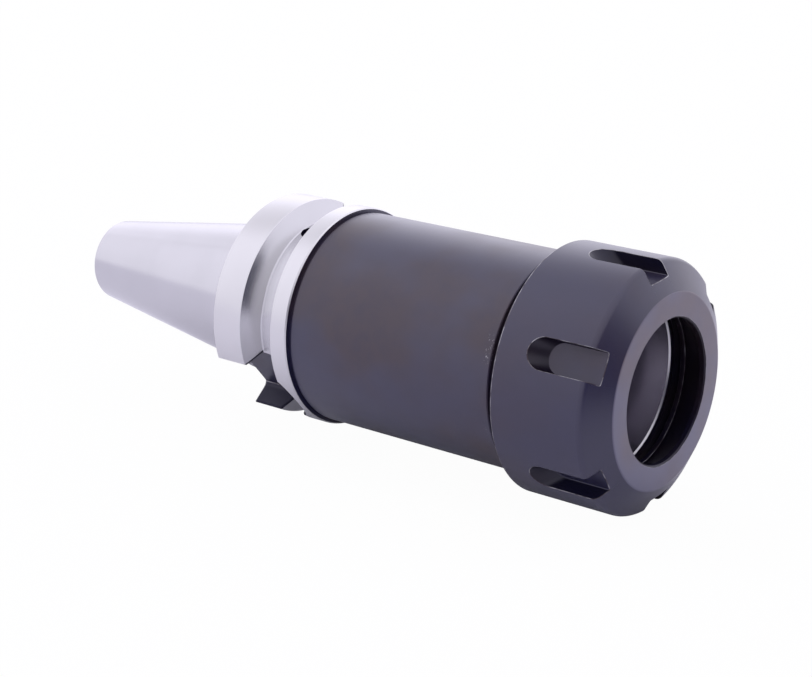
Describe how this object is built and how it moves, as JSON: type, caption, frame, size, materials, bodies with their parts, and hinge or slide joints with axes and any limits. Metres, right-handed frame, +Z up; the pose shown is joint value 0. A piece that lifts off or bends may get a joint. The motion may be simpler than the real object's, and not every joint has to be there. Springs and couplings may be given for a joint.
{
  "type": "collet chuck holder",
  "caption": "Machine tool holder with a steep taper shank, a grooved drive flange, a long round chuck body with a tapered collet seat, and a slotted clamping nut that turns on its nose.",
  "frame": {"origin": "on the axis in the gauge plane of the taper", "axes": "+X along the axis from the taper's small end to the nut's face, +Z up, with the holder lying level as in the picture"},
  "size_m": [0.1452, 0.05, 0.05],
  "materials": {
    "holder_steel": "ground bright on the taper and flange, blackened on the chuck body and in the drive slots",
    "nut_steel": "fine turned steel, blackened, with edges worn bright"
  },
  "bodies": {
    "holder": {"holder_body": "holder_steel"},
    "nut": {"clamping_nut": "nut_steel"}
  },
  "joints": [
    {"name": "nut_turn", "type": "hinge", "parent": "holder", "child": "nut", "pos_m": [0.08, 0, 0], "axis": [1, 0, 0], "range_deg": [-630, 2790]}
  ]
}
